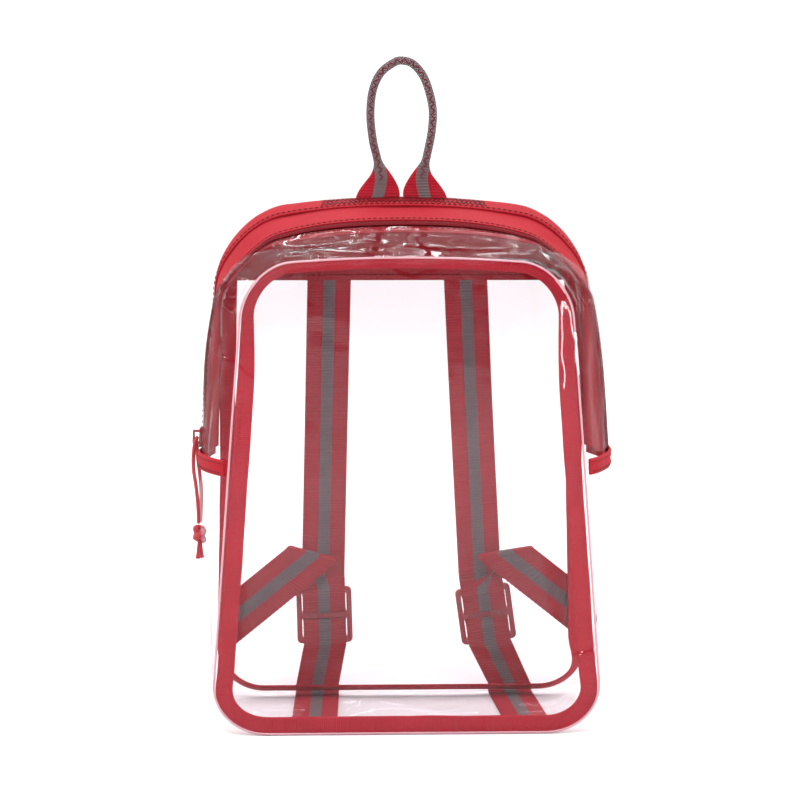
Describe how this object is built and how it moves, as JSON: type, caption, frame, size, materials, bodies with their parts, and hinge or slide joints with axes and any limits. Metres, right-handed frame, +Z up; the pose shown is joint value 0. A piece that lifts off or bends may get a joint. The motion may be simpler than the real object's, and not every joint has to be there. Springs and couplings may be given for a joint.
{
  "type": "clear stadium backpack",
  "caption": "Small clear vinyl backpack with a flat back, domed top, cloth zip arch, carry loop, and webbing shoulder straps with ladder-lock buckles",
  "frame": {"origin": "on the ground, at the middle of the bag's width and of its overall depth", "axes": "+Z up, front panel faces -Y, +X to the right of someone who looks at the front"},
  "size_m": [0.241, 0.1203, 0.3768],
  "materials": {
    "clear_vinyl": "thin clear soft vinyl sheet, glossy, lightly creased",
    "cloth": "red woven polyester pack cloth with a fine diagonal grain",
    "tape": "red woven binding and zip tape",
    "zip_coil": "dark red nylon coil",
    "slider_metal": "red enamelled die-cast slider",
    "webbing": "red ribbed webbing with a grey woven stripe along its middle",
    "buckle_plastic": "moulded red acetal, satin",
    "pull_cord": "thin red braided cord"
  },
  "bodies": {
    "root": {"front_panel": "clear_vinyl", "back_panel": "clear_vinyl", "lower_gusset": "clear_vinyl", "front_gusset": "clear_vinyl", "back_yoke": "cloth", "rear_gusset": "cloth", "rear_welt": "cloth", "end_band_left": "cloth", "end_band_right": "cloth", "zip_tape": "tape", "front_binding": "tape", "back_binding": "tape", "zip_coil": "zip_coil", "zip_slider": "slider_metal", "carry_loop": "webbing", "shoulder_strap_left": "webbing", "shoulder_strap_right": "webbing", "adjuster_left": "webbing", "adjuster_right": "webbing", "buckle_left": "buckle_plastic", "buckle_right": "buckle_plastic", "pull_strand_1": "pull_cord", "pull_strand_2": "pull_cord", "pull_knot": "pull_cord"}
  },
  "joints": []
}
